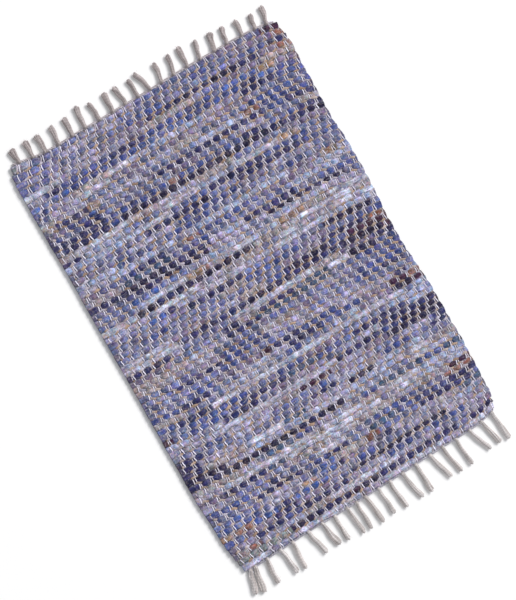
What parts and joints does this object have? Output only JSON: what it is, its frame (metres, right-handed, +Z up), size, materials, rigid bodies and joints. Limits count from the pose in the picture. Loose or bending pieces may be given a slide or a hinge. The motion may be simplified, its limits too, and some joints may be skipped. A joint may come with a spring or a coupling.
{
  "type": "rag rug",
  "caption": "Flat woven rag rug with uneven selvedges and a knotted tassel fringe along each end.",
  "frame": {"origin": "middle of the whole rug's footprint, fringes included, on the surface it lies on", "axes": "+X across the rug, +Y along it towards the end with the shorter tassels, +Z up from the surface"},
  "size_m": [0.63, 0.9934, 0.0088],
  "materials": {
    "rag_weave": "matt cotton rag strips in navy, mid blue, lilac, white and tan, with thin tan yarn between the rows and pale cotton warp ends over them",
    "cotton_fringe": "matt undyed cotton yarn, twisted and knotted into tassels"
  },
  "bodies": {
    "root": {"rug_cloth": "rag_weave", "fringe_top": "cotton_fringe", "fringe_bottom": "cotton_fringe"}
  },
  "joints": []
}
